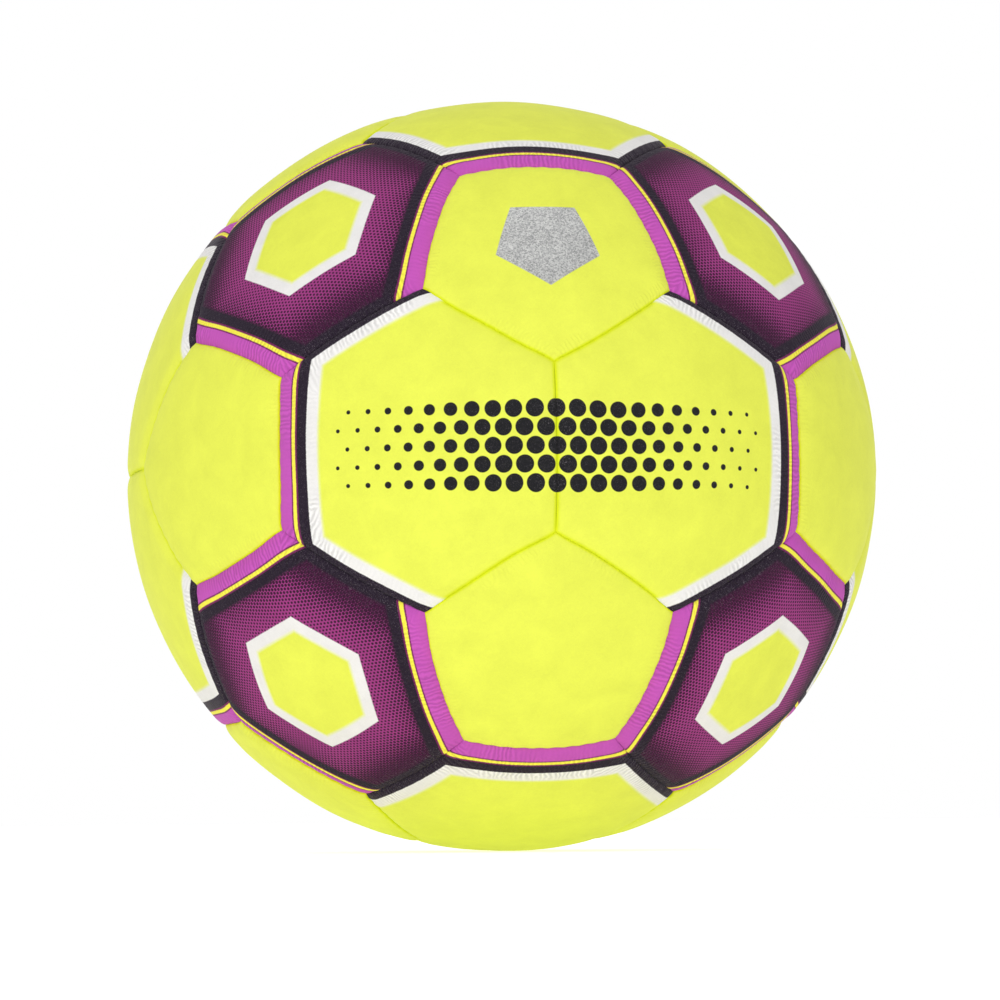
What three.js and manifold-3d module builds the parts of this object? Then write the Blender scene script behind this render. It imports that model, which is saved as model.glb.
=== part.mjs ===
// Indoor soccer ball, size 5: a hand-stitched cover of 12 pentagons and 20 hexagons
// round a latex bladder with a needle valve. Millimetres, +Z up, origin at the ball's centre.
// -Y is the front: the seam between two hexagons stands upright in the middle of it.

import * as THREE from 'three';
import { mergeVertices } from 'three/addons/utils/BufferGeometryUtils.js';
import Module from 'manifold-3d';

const wasm = await Module();
wasm.setup();

// Driving dimensions.

const ballDiameter = 219.6;       // an inflated size 5 ball, 690 mm round
const coverThickness = 3.6;       // felt face, foam and lining cloth, bonded into one sheet
const creaseDepth = 1.2;          // how far a seam lies below the crowns of its panels
const shoulderWidth = 4.5;        // distance from a seam over which a panel rounds down to it
const flangeReach = 3.9;          // how far the turned-in edge of a panel stands below the lining
const flangeThickness = 3;        // thickness of the turned-in edge
const seamGap = 0.3;              // clearance between two neighbouring panels
const threadDiameter = 0.9;       // waxed polyester seam thread
const threadClearance = 0.3;      // room round the thread in the groove that it beds into
const seatClearance = 0.3;        // clearance between soft pieces that lie on each other
const bladderWall = 0.6;          // latex, stretched by the air in it

const needleHoleDiameter = 2;     // where the pump's needle goes in
const needleHoleDepth = 12;
const coreDiameter = 5;           // self-sealing core of the valve
const coreTip = 4;                // solid rubber below the needle's hole
const coreHeadDiameter = 6.4;
const coreHeadHeight = 1.1;
const stemWall = 0.5;             // rubber of the valve's stem, round the core's head
const tubeWall = 1.7;             // rubber of the tube, round the core inside the bladder
const tubeMargin = 2.6;           // how far the tube reaches past the core
const valveRecess = 1.2;          // how far the stem's flat end lies below the panel's crown
const valveFlangeDiameter = 26;   // disc that is vulcanised onto the bladder
const valveFlangeThickness = 1.7;
const patchDiameter = 38;         // cloth disc that stiffens the cover round the valve
const patchThickness = 1;

const sideSegments = 3;           // facets along one seam
const shoulderSegments = 3;       // facets from a panel's crown down to its seam
const middleRing = 0.5;           // where a panel's inner ring of facets ends, as a share of its size
const roundSegments = 24;         // facets round the valve's pieces
const domeSteps = 4;              // facets from the middle of a dished disc to its edge
const bladderDetail = 4;

// Radii that follow from them, from the outside inwards.

const ballRadius = ballDiameter / 2;
const creaseRadius = ballRadius - creaseDepth;
const liningRadius = ballRadius - coverThickness;
const flangeTipRadius = liningRadius - flangeReach;
const threadRadius = threadDiameter / 2;
const grooveWidth = Math.SQRT2 * (threadRadius + threadClearance);
const stitchRadius = (creaseRadius + flangeTipRadius) / 2;

// The felt's and the rubber's looks.

const yellowFelt = new THREE.MeshStandardMaterial({ color: 0xe6f23a, roughness: 0.9, metalness: 0 });
const purpleFelt = new THREE.MeshStandardMaterial({ color: 0x7a2a6c, roughness: 0.9, metalness: 0 });
const threadFinish = new THREE.MeshStandardMaterial({ color: 0x2b2230, roughness: 0.7, metalness: 0 });
const latex = new THREE.MeshStandardMaterial({ color: 0xd9c08a, roughness: 0.5, metalness: 0 });
const blackRubber = new THREE.MeshStandardMaterial({ color: 0x1b1b1c, roughness: 0.6, metalness: 0 });
const patchCloth = new THREE.MeshStandardMaterial({ color: 0xd8d4c8, roughness: 0.9, metalness: 0 });

// The twelve pentagons sit at the corners of an icosahedron, the twenty hexagons on its faces.

const golden = (1 + Math.sqrt(5)) / 2;
const neighbourAngle = Math.atan(2);
const nearZero = 0.01;

function icosahedronCorners() {
  const corners = [];
  for (const far of [golden, -golden]) {
    for (const near of [1, -1]) {
      corners.push(
        new THREE.Vector3(0, far, near),
        new THREE.Vector3(near, 0, far),
        new THREE.Vector3(far, near, 0),
      );
    }
  }
  return corners;
}

const pentagonAxes = icosahedronCorners();

function areNeighbours(a, b) {
  return Math.abs(a.angleTo(b) - neighbourAngle) < nearZero;
}

// The seam's corner beside pentagon a, a third of the way to pentagon b.
function seamCorner(a, b) {
  return a.clone().lerp(b, 1 / 3).normalize();
}

function sortedRound(centre, corners) {
  const across = corners[0].clone().cross(centre).normalize();
  const along = centre.clone().cross(across).normalize();
  const angle = (p) => Math.atan2(p.dot(across), p.dot(along));
  return corners.sort((p, q) => angle(q) - angle(p));
}

// A name from where the panel is: the axis that it faces most comes first.
function placeName(axis) {
  const words = { x: ['left', 'right'], y: ['front', 'back'], z: ['lower', 'upper'] };
  const facing = { x: ['left', 'right'], y: ['front', 'back'], z: ['bottom', 'top'] };
  const parts = ['z', 'y', 'x'].filter((letter) => Math.abs(axis[letter]) > nearZero);
  const isCorner = parts.length === 3;
  parts.sort((p, q) => (isCorner ? 0 : Math.abs(axis[q]) - Math.abs(axis[p])));
  const word = (letter, i) => (i || isCorner ? words : facing)[letter][axis[letter] > 0 ? 1 : 0];
  return parts.map(word).join('_');
}

function listPanels() {
  const panels = [];
  for (const axis of pentagonAxes) {
    const corners = pentagonAxes.filter((b) => areNeighbours(axis, b)).map((b) => seamCorner(axis, b));
    panels.push({ kind: 'pentagon', place: placeName(axis), axis: axis.clone().normalize(), corners });
  }
  const count = pentagonAxes.length;
  for (let i = 0; i < count; i++) {
    for (let j = i + 1; j < count; j++) {
      for (let k = j + 1; k < count; k++) {
        const face = [pentagonAxes[i], pentagonAxes[j], pentagonAxes[k]];
        if (!face.every((a, n) => areNeighbours(a, face[(n + 1) % 3]))) continue;
        const axis = face.reduce((sum, a) => sum.add(a), new THREE.Vector3());
        const corners = face.flatMap((a) => face.filter((b) => b !== a).map((b) => seamCorner(a, b)));
        panels.push({ kind: 'hexagon', place: placeName(axis), axis: axis.normalize(), corners });
      }
    }
  }
  for (const panel of panels) panel.corners = sortedRound(panel.axis, panel.corners);
  return panels;
}

const panels = listPanels();
const isCornerHexagon = (panel) => panel.kind === 'hexagon' && panel.place.split('_').length === 3;

// A closed surface from rings of equally many points, with one point at each pole.

function skin(firstPole, rings, lastPole) {
  const points = [firstPole, ...rings.flat(), lastPole];
  const count = rings[0].length;
  const index = [];
  for (let i = 0; i < count; i++) {
    const next = (i + 1) % count;
    index.push(0, 1 + i, 1 + next);
    for (let ring = 0; ring + 1 < rings.length; ring++) {
      const here = 1 + ring * count;
      const below = here + count;
      index.push(here + i, below + i, below + next, here + i, below + next, here + next);
    }
    const last = 1 + (rings.length - 1) * count;
    index.push(points.length - 1, last + next, last + i);
  }
  const geometry = new THREE.BufferGeometry().setFromPoints(points);
  geometry.setIndex(index);
  return geometry;
}

// One panel: crown, rounded shoulder, crease, thread groove and turned-in edge.
// A step is the distance from the seam's own plane and the radius from the ball's centre.

function panelSteps() {
  const halfGap = seamGap / 2;
  const shoulder = Array.from({ length: shoulderSegments + 1 }, (_, i) => {
    const turn = (1 - i / shoulderSegments) * Math.PI / 2;
    const inset = halfGap + (shoulderWidth - halfGap) * (1 - Math.cos(turn));
    return [inset, creaseRadius + creaseDepth * Math.sin(turn)];
  });
  return [
    ...shoulder,
    [grooveWidth, stitchRadius],
    [halfGap, stitchRadius - (grooveWidth - halfGap)],
    [halfGap, flangeTipRadius],
    [halfGap + flangeThickness, flangeTipRadius],
    [halfGap + flangeThickness, liningRadius],
  ];
}

function panelGeometry(panel) {
  const { axis, corners } = panel;
  const planeCentre = axis.clone().multiplyScalar(axis.dot(corners[0]));
  const middle = corners[0].clone().add(corners[1]).multiplyScalar(0.5);
  const seamAngle = axis.angleTo(middle);
  const ring = (share, radius) => {
    const points = [];
    corners.forEach((corner, side) => {
      for (let i = 0; i < sideSegments; i++) {
        const onSeam = corner.clone().lerp(corners[(side + 1) % corners.length], i / sideSegments);
        points.push(planeCentre.clone().lerp(onSeam, share).setLength(radius));
      }
    });
    return points;
  };
  const shareAt = (inset, radius) =>
    Math.tan(seamAngle - Math.asin(inset / radius)) / Math.tan(seamAngle);
  const rings = [
    ring(middleRing, ballRadius),
    ...panelSteps().map(([inset, radius]) => ring(shareAt(inset, radius), radius)),
    ring(middleRing, liningRadius),
  ];
  const outer = axis.clone().setLength(ballRadius);
  const inner = axis.clone().setLength(liningRadius);
  return skin(outer, rings, inner);
}

// How far the flat facets in the middle of a panel's lining dip below its round surface.
function liningSag(panel) {
  const ringAngle = Math.atan(middleRing * Math.tan(panel.axis.angleTo(panel.corners[0])));
  return liningRadius * (1 - Math.cos(ringAngle / 2));
}

// Booleans, where a piece needs one.

const weldDistance = 1e-4;

function toSolid(geometry) {
  const bare = new THREE.BufferGeometry();
  bare.setAttribute('position', geometry.getAttribute('position'));
  bare.setIndex(geometry.index);
  const merged = mergeVertices(bare, weldDistance);
  return new wasm.Manifold(new wasm.Mesh({
    numProp: 3,
    vertProperties: new Float32Array(merged.attributes.position.array),
    triVerts: new Uint32Array(merged.index.array),
  }));
}

function toGeometry(solid) {
  const mesh = solid.getMesh();
  const geometry = new THREE.BufferGeometry();
  geometry.setAttribute('position', new THREE.BufferAttribute(mesh.vertProperties, 3));
  geometry.setIndex(new THREE.BufferAttribute(mesh.triVerts, 1));
  return geometry;
}

// The valve stands on the axis of a hexagon behind the ball, on its upper right.

const valvePanel = panels.find((panel) => panel.place === 'upper_back_right');
const upright = new THREE.Vector3(0, 1, 0);
const valveTurn = new THREE.Quaternion().setFromUnitVectors(upright, valvePanel.axis);

function alongValve(geometry) {
  return geometry.applyQuaternion(valveTurn);
}

function valveCylinder(diameter, low, high) {
  const geometry = new THREE.CylinderGeometry(diameter / 2, diameter / 2, high - low, roundSegments);
  return alongValve(geometry.translate(0, (low + high) / 2, 0));
}

function turned(outline) {
  const points = outline.map(([x, y]) => new THREE.Vector2(x, y));
  return alongValve(new THREE.LatheGeometry(points, roundSegments));
}

// Points of a dome of the given radius about the ball's centre, from one diameter to another.
function dome(radius, fromDiameter, toDiameter) {
  return Array.from({ length: domeSteps + 1 }, (_, i) => {
    const x = THREE.MathUtils.lerp(fromDiameter, toDiameter, i / domeSteps) / 2;
    return [x, Math.sqrt(radius * radius - x * x)];
  });
}

const patchTopRadius = liningRadius - liningSag(valvePanel) - seatClearance;
const patchBottomRadius = patchTopRadius - patchThickness;
const flangeTopRadius = patchBottomRadius - seatClearance;
const flangeBottomRadius = flangeTopRadius - valveFlangeThickness;
const bladderRadius = Math.min(flangeBottomRadius, flangeTipRadius) - seatClearance;
const coreBore = coreDiameter + 2 * seatClearance;
const coreHeadBore = coreHeadDiameter + 2 * seatClearance;
const stemDiameter = coreHeadBore + 2 * stemWall;
const tubeDiameter = coreBore + 2 * tubeWall;
const valveHoleDiameter = stemDiameter + 2 * seatClearance;
const stemTop = ballRadius - valveRecess;
const coreBottom = stemTop - needleHoleDepth - coreTip;
const tubeBottom = coreBottom - tubeMargin;

function valveBodyGeometry() {
  const headSeat = stemTop - coreHeadHeight - seatClearance;
  const outline = [
    [coreBore / 2, tubeBottom],
    [tubeDiameter / 2, tubeBottom],
    ...dome(flangeBottomRadius, tubeDiameter, valveFlangeDiameter),
    ...dome(flangeTopRadius, valveFlangeDiameter, stemDiameter),
    [stemDiameter / 2, stemTop],
    [coreHeadBore / 2, stemTop],
    [coreHeadBore / 2, headSeat],
    [coreBore / 2, headSeat],
  ];
  return turned([...outline, outline[0]]);
}

function valveCoreGeometry() {
  const core = coreDiameter / 2;
  const head = coreHeadDiameter / 2;
  const needle = needleHoleDiameter / 2;
  const headBottom = stemTop - coreHeadHeight;
  const outline = [
    [0, coreBottom],
    [core, coreBottom],
    [core, headBottom],
    [head, headBottom],
    [head, stemTop],
    [needle, stemTop],
    [needle, stemTop - needleHoleDepth],
    [0, stemTop - needleHoleDepth - needle],
  ];
  return turned(outline);
}

function valvePatchGeometry() {
  const outline = [
    ...dome(patchBottomRadius, valveHoleDiameter, patchDiameter),
    ...dome(patchTopRadius, patchDiameter, valveHoleDiameter),
  ];
  return turned([...outline, outline[0]]);
}

function valvePanelGeometry() {
  const hole = valveCylinder(valveHoleDiameter, flangeTipRadius, ballRadius + creaseDepth);
  return toGeometry(toSolid(panelGeometry(valvePanel)).subtract(toSolid(hole)));
}

function bladderGeometry() {
  const outside = new THREE.IcosahedronGeometry(bladderRadius, bladderDetail);
  const inside = new THREE.IcosahedronGeometry(bladderRadius - bladderWall, bladderDetail);
  const opening = valveCylinder(tubeDiameter + 2 * seatClearance, tubeBottom, ballRadius);
  return toGeometry(toSolid(outside).subtract(toSolid(inside)).subtract(toSolid(opening)));
}

// Seam thread. One length sews a pentagon in, and runs on along hexagon seams beside it.

function seamPoints(from, to) {
  return Array.from({ length: sideSegments + 1 }, (_, i) =>
    from.clone().lerp(to, i / sideSegments).setLength(stitchRadius),
  );
}

// A thread of square section, one edge of it outwards, along points on the ball.
function threadGeometry(points, closed) {
  const count = points.length;
  const at = (i) => points[closed ? (i + count) % count : Math.min(Math.max(i, 0), count - 1)];
  const rings = points.map((point, i) => {
    const outwards = point.clone().normalize();
    const before = point.clone().sub(at(i - 1));
    const after = at(i + 1).clone().sub(point);
    const way = before.clone().normalize().add(after.clone().normalize());
    const sideways = way.cross(outwards).normalize();
    const mitre = (after.lengthSq() ? after : before).clone().normalize().cross(outwards).dot(sideways);
    const reach = sideways.multiplyScalar(threadRadius / mitre);
    const rise = outwards.multiplyScalar(threadRadius);
    return [
      point.clone().add(rise),
      point.clone().add(reach),
      point.clone().sub(rise),
      point.clone().sub(reach),
    ];
  });
  const index = [];
  const last = closed ? count : count - 1;
  for (let i = 0; i < last; i++) {
    for (let k = 0; k < 4; k++) {
      const a = 4 * i + k;
      const b = 4 * i + ((k + 1) % 4);
      const c = 4 * ((i + 1) % count) + k;
      const d = 4 * ((i + 1) % count) + ((k + 1) % 4);
      index.push(a, b, d, a, d, c);
    }
  }
  if (!closed) {
    const end = 4 * (count - 1);
    index.push(0, 2, 1, 0, 3, 2, end, end + 1, end + 2, end, end + 2, end + 3);
  }
  const geometry = new THREE.BufferGeometry().setFromPoints(rings.flat());
  geometry.setIndex(index);
  return geometry;
}

// The hexagon seam between pentagons a and b belongs to the one that comes first in this order.
function ownsSeam(a, b) {
  const turn = a.clone().cross(b).dot(new THREE.Vector3(1, 1, 1));
  if (Math.abs(turn) > nearZero) return turn > 0;
  return pentagonAxes.indexOf(a) < pentagonAxes.indexOf(b);
}

function seamThreadGeometry(axis, corners) {
  const ring = corners.flatMap((corner, i) =>
    seamPoints(corner, corners[(i + 1) % corners.length]).slice(0, -1),
  );
  let thread = toSolid(threadGeometry(ring, true));
  for (const other of pentagonAxes) {
    if (!areNeighbours(axis, other) || !ownsSeam(axis, other)) continue;
    const points = seamPoints(seamCorner(axis, other), seamCorner(other, axis));
    const [beforeEnd, end] = points.slice(-2);
    end.lerp(beforeEnd, (threadDiameter + threadClearance) / end.distanceTo(beforeEnd));
    thread = thread.add(toSolid(threadGeometry(points, false)));
  }
  return toGeometry(thread);
}

// The assembly.

const ball = new THREE.Group();
const cover = new THREE.Group();
const stitching = new THREE.Group();
const airChamber = new THREE.Group();
ball.add(cover, stitching, airChamber);

function addPiece(group, name, geometry, material) {
  const mesh = new THREE.Mesh(geometry, material);
  mesh.name = name;
  group.add(mesh);
}

for (const panel of panels) {
  const geometry = panel === valvePanel ? valvePanelGeometry() : panelGeometry(panel);
  const finish = isCornerHexagon(panel) ? purpleFelt : yellowFelt;
  addPiece(cover, `${panel.kind}_${panel.place}`, geometry, finish);
}

pentagonAxes.forEach((axis, i) => {
  const geometry = seamThreadGeometry(axis, panels[i].corners);
  addPiece(stitching, `seam_thread_${placeName(axis)}`, geometry, threadFinish);
});

addPiece(airChamber, 'bladder', bladderGeometry(), latex);
addPiece(airChamber, 'valve_body', valveBodyGeometry(), blackRubber);
addPiece(airChamber, 'valve_core', valveCoreGeometry(), blackRubber);
addPiece(airChamber, 'valve_patch', valvePatchGeometry(), patchCloth);

export default ball;
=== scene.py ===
# %% [markdown]
# # A hand-stitched indoor soccer ball
# The cover has 12 pentagons and 20 hexagons of printed felt, sewn together edge to edge with
# waxed thread, round a latex bladder with a needle valve. The CAD part gives each piece its
# place and its size. This lesson gives each one the form and the finish that an eye sees:
# puffed panels, puckered seams, nap and print. All lengths are in metres, in the frame of the
# CAD part: the front looks along -Y, up is +Z, and the origin is the ball's centre.

import itertools
import math

import bpy
import numpy as np
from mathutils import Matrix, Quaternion, Vector


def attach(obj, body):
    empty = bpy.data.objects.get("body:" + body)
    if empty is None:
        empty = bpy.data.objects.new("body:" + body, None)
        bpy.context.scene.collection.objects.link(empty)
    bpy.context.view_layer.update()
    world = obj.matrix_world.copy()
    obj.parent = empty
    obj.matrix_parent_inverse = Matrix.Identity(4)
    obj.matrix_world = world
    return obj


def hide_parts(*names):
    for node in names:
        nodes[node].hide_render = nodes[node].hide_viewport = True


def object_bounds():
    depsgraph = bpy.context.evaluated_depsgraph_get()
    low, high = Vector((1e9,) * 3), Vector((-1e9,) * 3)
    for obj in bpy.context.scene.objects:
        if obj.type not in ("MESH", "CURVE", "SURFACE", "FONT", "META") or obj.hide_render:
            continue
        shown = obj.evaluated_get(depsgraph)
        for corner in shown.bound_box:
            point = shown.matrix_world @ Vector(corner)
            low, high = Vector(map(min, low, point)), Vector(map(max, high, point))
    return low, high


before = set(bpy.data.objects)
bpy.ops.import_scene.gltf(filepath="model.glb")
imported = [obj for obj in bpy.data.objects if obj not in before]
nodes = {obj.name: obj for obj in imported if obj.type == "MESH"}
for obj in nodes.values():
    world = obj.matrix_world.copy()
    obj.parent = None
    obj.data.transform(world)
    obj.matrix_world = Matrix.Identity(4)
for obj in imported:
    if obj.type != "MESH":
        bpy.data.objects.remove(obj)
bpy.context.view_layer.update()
print("The frame holds", len(nodes), "nodes")

# %% [markdown]
# ## Sizes
# The ball's radius and the depth of its turned-in edges are read off the frame, so the looks
# follow the CAD part if it changes. The sizes of folds and gaps are named here once.

# %% Read the ball's size off the frame
MM = 0.001


def node_points(name):
    """The points of a CAD node, one in each row."""
    vertices = nodes[name].data.vertices
    flat = np.empty(len(vertices) * 3)
    vertices.foreach_get("co", flat)
    return flat.reshape(-1, 3)


def node_radii(name):
    """Distances of a CAD node's points from the ball's centre."""
    return np.linalg.norm(node_points(name), axis=1)


def unit(vectors):
    """Vectors of length one, for one vector or for one in each row."""
    vectors = np.asarray(vectors, dtype=float)
    return vectors / np.linalg.norm(vectors, axis=-1, keepdims=True)


sample_radii = node_radii("pentagon_front_upper")
ball_radius = sample_radii.max()
flange_tip_radius = sample_radii.min()
turned_in = ball_radius - flange_tip_radius
print(f"Ball {2 * ball_radius / MM:.1f} mm across, edges turned in by {turned_in / MM:.1f} mm")

# %% Name the sizes of the cover
crease_depth = 1.2 * MM
shoulder_width = 4.5 * MM
cover_thickness = 3.6 * MM
flange_thickness = 3 * MM
half_gap = 0.15 * MM
felt_half_gap = 0.015 * MM
thread_radius = 0.45 * MM
thread_clearance = 0.3 * MM
crease_radius = ball_radius - crease_depth
lining_radius = ball_radius - cover_thickness
stitch_radius = (crease_radius + flange_tip_radius) / 2
groove_radius = thread_radius + thread_clearance
stitches_per_seam = 10
print(f"Creases {crease_depth / MM:.1f} mm deep in a cover {cover_thickness / MM:.1f} mm thick")

# %% [markdown]
# ## The layout of the panels
# A ball of this kind is a truncated icosahedron: the pentagons sit on the twelve corners of an
# icosahedron and the hexagons on its twenty faces. Each panel could be measured off its CAD
# node, but the node's facets are coarse, so only its direction is read there. The exact axis
# and corners then come from the icosahedron.

# %% Find the axes of the pentagons and hexagons
golden = (1 + math.sqrt(5)) / 2
neighbour_cosine = 1 / math.sqrt(5)
near_zero = 0.01

pentagon_axes = unit([
    turn
    for far in (golden, -golden)
    for near in (1, -1)
    for turn in ((0, far, near), (near, 0, far), (far, near, 0))
])


def are_neighbours(a, b):
    """True for two pentagons whose corners are joined by a seam between hexagons."""
    return abs(a @ b - neighbour_cosine) < near_zero


hexagon_axes = unit([
    a + b + c
    for a, b, c in itertools.combinations(pentagon_axes, 3)
    if are_neighbours(a, b) and are_neighbours(b, c) and are_neighbours(c, a)
])
print(len(pentagon_axes), "pentagons and", len(hexagon_axes), "hexagons")


# %% Find corners and put them in order
def closest(axes, direction):
    """The axis that comes nearest to a direction."""
    return axes[np.argmax(axes @ direction)]


def seam_corner(a, b):
    """The corner of pentagon a that points to pentagon b."""
    return unit(2 * a + b)


def sorted_round(axis, corners):
    """Corners in anticlockwise order, as seen from outside the ball."""
    across = unit(np.cross(corners[0], axis))
    ahead = np.cross(axis, across)
    angles = np.arctan2(corners @ ahead, corners @ across)
    return corners[np.argsort(angles)]


def pentagon_corners(axis):
    """The five corners of a pentagon, in order."""
    corners = [seam_corner(axis, other) for other in pentagon_axes if are_neighbours(axis, other)]
    return sorted_round(axis, np.array(corners))


def hexagon_corners(axis):
    """The six corners of a hexagon, in order. They belong to the three pentagons round it."""
    near = [pentagon for pentagon in pentagon_axes if pentagon @ axis > neighbour_cosine]
    corners = [seam_corner(a, b) for a, b in itertools.permutations(near, 2)]
    return sorted_round(axis, np.array(corners))


first_corners = pentagon_corners(pentagon_axes[0])
seam_length = ball_radius * math.acos(first_corners[0] @ first_corners[1])
print(f"Every seam between two corners is {seam_length / MM:.1f} mm long")

# %% [markdown]
# ## What lies beyond each seam
# The print changes with the neighbour. Pink lies along the pentagons on a purple hexagon, and
# at both ends of a pair of yellow ones. Dark and white lie where yellow meets purple, and
# nothing lies where a hexagon meets its partner. The kinds of seam could be typed in for all 32
# panels. Mirroring a panel's axis in the middle of a side gives the neighbour's axis, so they
# are found instead.


# %% Say what lies beyond each side of a panel
def is_purple(axis):
    """The eight hexagons that face a corner of the ball's box are the purple ones."""
    return np.ptp(np.abs(axis)) < near_zero


def seam_kind(axis, middle):
    """What lies beyond a hexagon's side: a pentagon, a hexagon of its colour or of the other."""
    beyond = unit(2 * (middle @ axis) * middle - axis)
    if (pentagon_axes @ beyond).max() > (hexagon_axes @ beyond).max():
        return "pentagon"
    other = closest(hexagon_axes, beyond)
    return "contrast" if is_purple(other) != is_purple(axis) else "partner"


def panel_of(name):
    """A panel's axis, its corners, and the kind of seam on each side of it."""
    direction = unit(node_points(name).mean(axis=0))
    is_pentagon = name.startswith("pentagon")
    axis = closest(pentagon_axes if is_pentagon else hexagon_axes, direction)
    corners = pentagon_corners(axis) if is_pentagon else hexagon_corners(axis)
    middles = unit(corners + np.roll(corners, -1, axis=0))
    kinds = ["hexagon" if is_pentagon else seam_kind(axis, middle) for middle in middles]
    if "partner" in kinds:
        # The side opposite the partner is the pair's far end, which has a pink stripe.
        kinds[(kinds.index("partner") + 3) % 6] = "end"
    return {"name": name, "axis": axis, "corners": corners, "middles": middles, "kinds": kinds}


panels = [panel_of(name) for name in sorted(nodes) if name.startswith(("pentagon", "hexagon"))]
for name in ("hexagon_front_left", "hexagon_upper_front_left", "pentagon_front_upper"):
    found = next(panel for panel in panels if panel["name"] == name)
    print(name, "meets", ", ".join(found["kinds"]))

# %% [markdown]
# ## Unevenness
# Hand sewing is never quite even. A noise texture could push the points about, but the edges
# of two neighbours would no longer meet. Here smooth random waves of the direction from the
# ball's centre swell the felt and let the seams wander, the same for both panels at a seam.
# The stitches also draw in the corners of the pentagons, so they end up rounder than cut.

# %% Give the felt its slight unevenness
rng = np.random.default_rng(11)
swell_height = 0.35 * MM
drift_reach = 0.3 * MM
corner_pull = 1.3 * MM
corner_pull_reach = 9 * MM


def uneven_field(waves, longest, shortest):
    """A smooth random function of direction, from waves of lengths between two limits."""
    lengths = rng.uniform(shortest, longest, (waves, 1))
    vectors = unit(rng.normal(size=(waves, 3))) * 2 * math.pi * ball_radius / lengths
    phases = rng.uniform(0, 2 * math.pi, waves)
    return lambda directions: np.sin(directions @ vectors.T + phases).mean(axis=1)


swell = uneven_field(9, 60 * MM, 24 * MM)
drifts = [uneven_field(7, 50 * MM, 18 * MM) for _ in range(3)]
neighbours = [pair for pair in itertools.permutations(pentagon_axes, 2) if are_neighbours(*pair)]
tips = np.array([seam_corner(a, b) for a, b in neighbours])
tip_axes = np.array([a for a, b in neighbours])


def drifted(points):
    """Points moved along the surface, so that seams wander and pentagon corners are rounded."""
    directions = unit(points)
    shift = np.stack([drift(directions) for drift in drifts], axis=1) * drift_reach
    closeness = directions @ tips.T
    nearest = closeness.argmax(axis=1)
    gap = ball_radius * np.arccos(np.clip(closeness.max(axis=1), -1, 1))
    pull = corner_pull * np.exp(-(gap / corner_pull_reach) ** 2)
    shift += unit(tip_axes[nearest] - tips[nearest]) * pull[:, None]
    return points + shift - directions * np.sum(directions * shift, axis=1, keepdims=True)


test_directions = unit(rng.normal(size=(2000, 3)))
print(f"Swells reach {np.abs(swell(test_directions)).max() * swell_height / MM:.2f} mm")

# %% [markdown]
# ## The surface of a panel
# A real panel is felt on foam and lining cloth. Air pressure bulges it, and its stitched edges
# are pulled in, so it rounds down to its seams like a small cushion. A subdivided cage would
# give one even curve. Here each point's radius is worked out from its distance to the seams,
# because then two neighbours always meet at the same depth, and the folds can be as narrow as
# they are on the felt. Two hexagons round over alike, with a crease between them. Where a
# hexagon meets a pentagon, it slopes down gently and the pentagon's plump edge stands beside
# it. Each stitch then pulls the felt in a little.

# %% Work out the radius of the surface from the distances to the seams
pentagon_puff = 0.45 * MM
puff_width = 11 * MM
stitch_pull = 0.24 * MM
stitch_pull_reach = 1.7 * MM


def seam_distances(panel, directions):
    """Distance of each point from the plane of each seam, one column a seam."""
    corners = panel["corners"]
    planes = unit(np.cross(corners, np.roll(corners, -1, axis=0)))
    return ball_radius * directions @ planes.T


def shoulder_rise(panel, distances):
    """Height of the shoulders, from 0 in the crease to 1 on the crown."""
    rise = np.clip((distances - felt_half_gap) / (shoulder_width - felt_half_gap), 0, 1)
    gentle = np.array([kind == "pentagon" for kind in panel["kinds"]])
    round_over = np.sqrt(1 - (1 - rise) ** 2)
    return np.where(gentle, np.sin(rise * math.pi / 2), round_over).prod(axis=1)


def crown_radius(panel, directions, distances, along):
    """Radius of the felt: round shoulders, a slight puff and the pull of each stitch."""
    inset = distances.min(axis=1)
    puff = pentagon_puff if panel["name"].startswith("pentagon") else 0.0
    ease = np.clip(inset / puff_width, 0, 1)
    raised = crease_depth * shoulder_rise(panel, distances) + puff * ease * ease * (3 - 2 * ease)
    dip = 0.5 + 0.5 * np.cos(2 * math.pi * along * stitches_per_seam)
    pulled = stitch_pull * dip * np.exp(-inset / stitch_pull_reach)
    return crease_radius + raised - pulled + swell(directions) * swell_height


pitch_mm = seam_length / stitches_per_seam / MM
print(f"A stitch every {pitch_mm:.1f} mm pulls the felt in by {stitch_pull / MM:.2f} mm")

# %% [markdown]
# ## The mesh of a panel
# The middle of a panel is a lattice of even triangles, whose rows run along its seams. Towards
# the edge the rows get narrower, down to a fraction of a millimetre on the fold. The same rows
# go on round the turned-in edge, under the panel and to the middle of the lining, so each panel
# is one closed body that could be sewn, and not a sheet.

# %% Choose the rows
points_per_side = 60
edge_step = 0.07 * MM
edge_growth = 1.2
lattice_pitch = 0.62 * MM
groove_half_angle = math.radians(78)
groove_points = 9
lining_shares = (0.6, 0.25)


def edge_insets():
    """Distances from the seam of the rows near it, with ever wider steps inwards."""
    insets = [felt_half_gap]
    step = edge_step
    while step < lattice_pitch:
        insets.append(insets[-1] + step)
        step *= edge_growth
    return np.array(insets)


def wall_steps():
    """The turned-in edge, as distances from the seam's plane and radii: groove, tip and lining."""
    arc = np.linspace(groove_half_angle, -groove_half_angle, groove_points)
    groove = [(groove_radius * math.cos(a), stitch_radius + groove_radius * math.sin(a)) for a in arc]
    inner = half_gap + flange_thickness
    soft = 0.4 * MM
    return groove + [
        (half_gap, flange_tip_radius + soft),
        (half_gap + soft, flange_tip_radius),
        (inner - soft, flange_tip_radius),
        (inner, flange_tip_radius + soft),
        (inner, lining_radius - soft),
        (inner + soft, lining_radius),
    ]


fold_insets = edge_insets()
wall = wall_steps()
print(len(fold_insets), "rows on the fold and", len(wall), "round the turned-in edge")


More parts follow.
